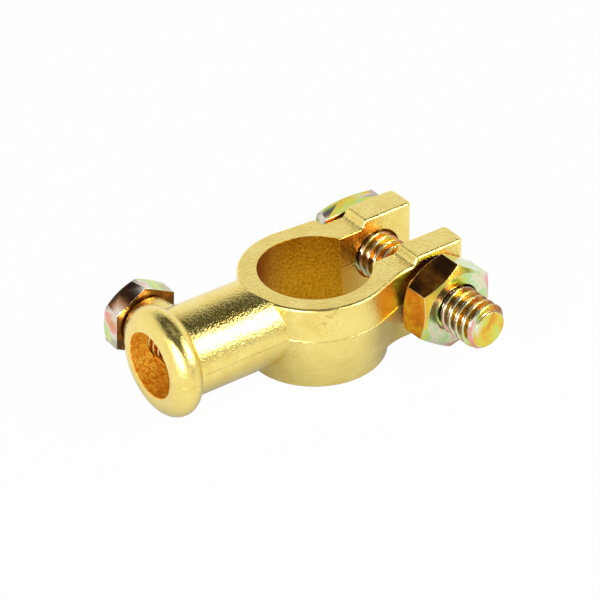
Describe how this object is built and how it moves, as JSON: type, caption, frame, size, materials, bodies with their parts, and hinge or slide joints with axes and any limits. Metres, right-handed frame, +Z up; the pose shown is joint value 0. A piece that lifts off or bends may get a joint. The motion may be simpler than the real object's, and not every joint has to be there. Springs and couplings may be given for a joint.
{
  "type": "battery terminal clamp",
  "caption": "Cast brass clamp for a tapered battery post, with a cable barrel, a pinch bolt through two ears and a cable screw.",
  "frame": {"origin": "on the axis of the battery post's bore, at the ring's underside", "axes": "+Z up along the post, +Y towards the ears, the cable barrel along -Y, +X towards the nut end of the pinch bolt"},
  "size_m": [0.0366, 0.0534, 0.0178],
  "materials": {
    "cast_brass": "cast and tumbled, semi-bright",
    "yellow_zinc_steel": "zinc plated, yellow passivated"
  },
  "bodies": {
    "casting": {"clamp_body": "cast_brass"},
    "bolt": {"clamp_bolt": "yellow_zinc_steel"},
    "nut": {"clamp_nut": "yellow_zinc_steel"},
    "screw": {"cable_screw": "yellow_zinc_steel"}
  },
  "joints": [
    {"name": "nut_turn", "type": "hinge", "parent": "casting", "child": "nut", "pos_m": [0, 0.0153, 0.0091], "axis": [0.9979, 0.0558, -0.0314], "range_deg": [0, 1620.1]},
    {"name": "bolt_feed", "type": "slide", "parent": "casting", "child": "bolt", "axis": [-0.9979, -0.0558, 0.0314], "range_m": [0, 0.00675]},
    {"name": "screw_feed", "type": "slide", "parent": "casting", "child": "screw", "axis": [-0.996, -0.0435, 0.0785], "range_m": [0, 0.008]}
  ],
  "couplings": [
    {"joint": "nut_turn", "follows": "bolt_feed", "rad_per_m": 4188.8}
  ]
}
